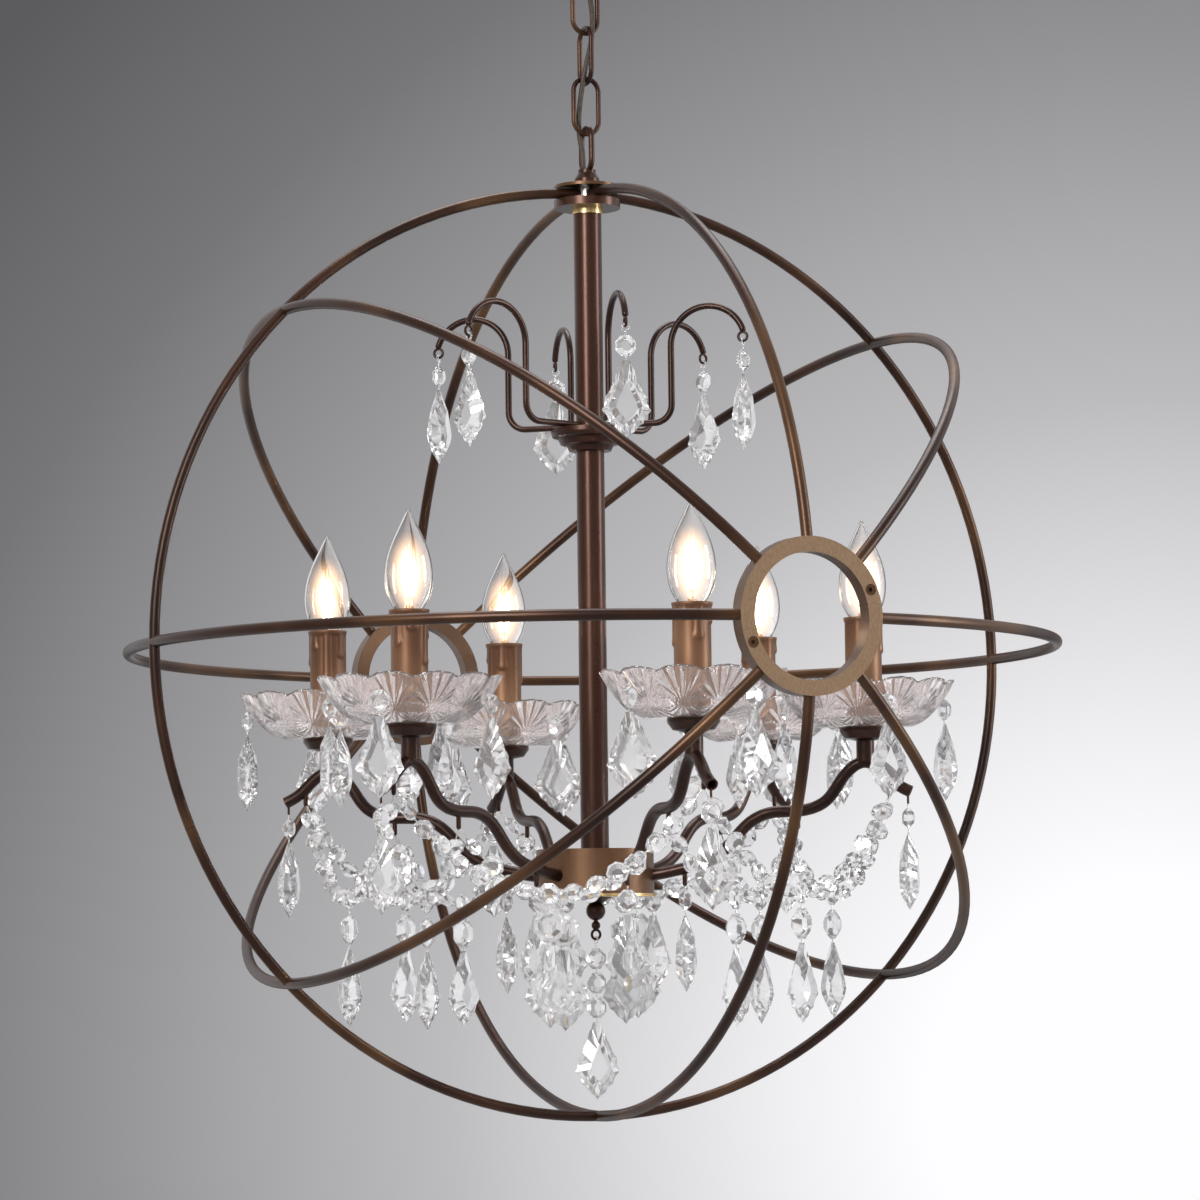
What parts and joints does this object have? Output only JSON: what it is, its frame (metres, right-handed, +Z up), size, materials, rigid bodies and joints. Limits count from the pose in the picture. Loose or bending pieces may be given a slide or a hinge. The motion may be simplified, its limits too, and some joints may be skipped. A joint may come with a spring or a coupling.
{
  "type": "orb chandelier",
  "caption": "Orb chandelier: a round bronze bar cage hung on a chain around scroll arms with candle lamps, scalloped glass dishes and cut-crystal drops and garlands.",
  "frame": {"origin": "centre of the crossbar's box-screw pattern, at the ceiling plane on the stem axis", "axes": "+Z up, out of the ceiling face of the crossbar; -Y towards the front end ring of the cage; +X to the right seen from the front"},
  "size_m": [0.6322, 0.6282, 0.8388],
  "materials": {
    "bronze": "satin",
    "ring_bronze": "satin",
    "copper_bronze": "satin",
    "gilt": "polished",
    "steel": "satin",
    "drip_wax": "satin",
    "socket": "matte",
    "dish_glass": "polished",
    "crystal": "polished",
    "bulb": "polished",
    "cord": "matte"
  },
  "bodies": {
    "ceiling": {"crossbar": "steel", "canopy": "bronze", "canopy_loop": "bronze", "canopy_nipple": "steel", "locknut": "steel", "power_cord": "cord"},
    "link_1": {"chain_link_1": "bronze"},
    "link_2": {"chain_link_2": "bronze"},
    "link_3": {"chain_link_3": "bronze"},
    "chandelier": {"hub_top_plate": "bronze", "hub_bottom_plate": "bronze", "hub_spacer": "steel", "loop_washer": "steel", "stem_collar": "gilt", "hoop_upper_half": "bronze", "hoop_lower_half": "bronze", "hoop_spigots": "bronze", "ribs_upper": "bronze", "ribs_lower": "bronze", "end_ring_front_upper": "ring_bronze", "end_ring_front_lower": "ring_bronze", "end_ring_back_upper": "ring_bronze", "end_ring_back_lower": "ring_bronze", "end_ring_screws": "bronze", "stem_loop": "bronze", "stem_upper": "copper_bronze", "stem_lower": "copper_bronze", "upper_cup": "copper_bronze", "stem_rod": "steel", "crystal_hooks": "bronze", "hub_drum": "copper_bronze", "hub_base_plate": "gilt", "finial": "bronze", "arms": "bronze", "arm_wires": "cord", "arm_pins": "bronze", "drip_pans": "bronze", "candle_nipples": "steel", "glass_dishes": "dish_glass", "candle_sleeves": "drip_wax", "lamp_sockets": "socket", "crystal_pins": "steel", "outer_swags": "crystal", "inner_swags": "crystal", "swag_drops": "crystal", "arm_drops": "crystal", "dish_drops": "crystal"},
    "bulb_1": {"bulb_1": "bulb"},
    "bulb_2": {"bulb_2": "bulb"},
    "bulb_3": {"bulb_3": "bulb"},
    "bulb_4": {"bulb_4": "bulb"},
    "bulb_5": {"bulb_5": "bulb"},
    "bulb_6": {"bulb_6": "bulb"},
    "upper_pendant_1": {"upper_pendant_1": "crystal"},
    "upper_pendant_2": {"upper_pendant_2": "crystal"},
    "upper_pendant_3": {"upper_pendant_3": "crystal"},
    "upper_pendant_4": {"upper_pendant_4": "crystal"},
    "upper_pendant_5": {"upper_pendant_5": "crystal"},
    "upper_pendant_6": {"upper_pendant_6": "crystal"},
    "center_drop": {"center_drop": "crystal"}
  },
  "joints": [
    {"name": "link_1_swing", "type": "hinge", "parent": "ceiling", "child": "link_1", "pos_m": [0, 0, -0.064], "axis": [0, 1, 0], "range_deg": [-20, 20], "deforming": ["power_cord"]},
    {"name": "link_2_swing", "type": "hinge", "parent": "link_1", "child": "link_2", "pos_m": [0, 0, -0.0986], "axis": [1, 0, 0], "range_deg": [-20, 20], "deforming": ["power_cord"]},
    {"name": "link_3_swing", "type": "hinge", "parent": "link_2", "child": "link_3", "pos_m": [0, 0, -0.1335], "axis": [0, 1, 0], "range_deg": [-20, 20], "deforming": ["power_cord"]},
    {"name": "chandelier_swing", "type": "hinge", "parent": "link_3", "child": "chandelier", "pos_m": [0, 0, -0.1684], "axis": [1, 0, 0], "range_deg": [-20, 20], "deforming": ["power_cord"]},
    {"name": "bulb_1_out", "type": "slide", "parent": "chandelier", "child": "bulb_1", "axis": [0, 0, 1], "range_m": [0, 0.04]},
    {"name": "bulb_2_out", "type": "slide", "parent": "chandelier", "child": "bulb_2", "axis": [0, 0, 1], "range_m": [0, 0.04]},
    {"name": "bulb_3_out", "type": "slide", "parent": "chandelier", "child": "bulb_3", "axis": [0, 0, 1], "range_m": [0, 0.04]},
    {"name": "bulb_4_out", "type": "slide", "parent": "chandelier", "child": "bulb_4", "axis": [0, 0, 1], "range_m": [0, 0.04]},
    {"name": "bulb_5_out", "type": "slide", "parent": "chandelier", "child": "bulb_5", "axis": [0, 0, 1], "range_m": [0, 0.04]},
    {"name": "bulb_6_out", "type": "slide", "parent": "chandelier", "child": "bulb_6", "axis": [0, 0, 1], "range_m": [0, 0.04]},
    {"name": "upper_pendant_1_swing", "type": "hinge", "parent": "chandelier", "child": "upper_pendant_1", "pos_m": [-0.02347, -0.10586, -0.31691], "axis": [-0.2164, -0.9763, 0], "range_deg": [-30, 30]},
    {"name": "upper_pendant_2_swing", "type": "hinge", "parent": "chandelier", "child": "upper_pendant_2", "pos_m": [0.07994, -0.07326, -0.31691], "axis": [0.7373, -0.6756, 0], "range_deg": [-30, 30]},
    {"name": "upper_pendant_3_swing", "type": "hinge", "parent": "chandelier", "child": "upper_pendant_3", "pos_m": [0.10341, 0.03261, -0.31691], "axis": [0.9537, 0.3007, 0], "range_deg": [-30, 30]},
    {"name": "upper_pendant_4_swing", "type": "hinge", "parent": "chandelier", "child": "upper_pendant_4", "pos_m": [0.02347, 0.10586, -0.31691], "axis": [0.2164, 0.9763, 0], "range_deg": [-30, 30]},
    {"name": "upper_pendant_5_swing", "type": "hinge", "parent": "chandelier", "child": "upper_pendant_5", "pos_m": [-0.07994, 0.07326, -0.31691], "axis": [-0.7373, 0.6756, 0], "range_deg": [-30, 30]},
    {"name": "upper_pendant_6_swing", "type": "hinge", "parent": "chandelier", "child": "upper_pendant_6", "pos_m": [-0.10341, -0.03261, -0.31691], "axis": [-0.9537, -0.3007, 0], "range_deg": [-30, 30]},
    {"name": "center_drop_swing", "type": "hinge", "parent": "chandelier", "child": "center_drop", "pos_m": [0, 0, -0.717], "axis": [1, 0, 0], "range_deg": [-25, 25]}
  ]
}
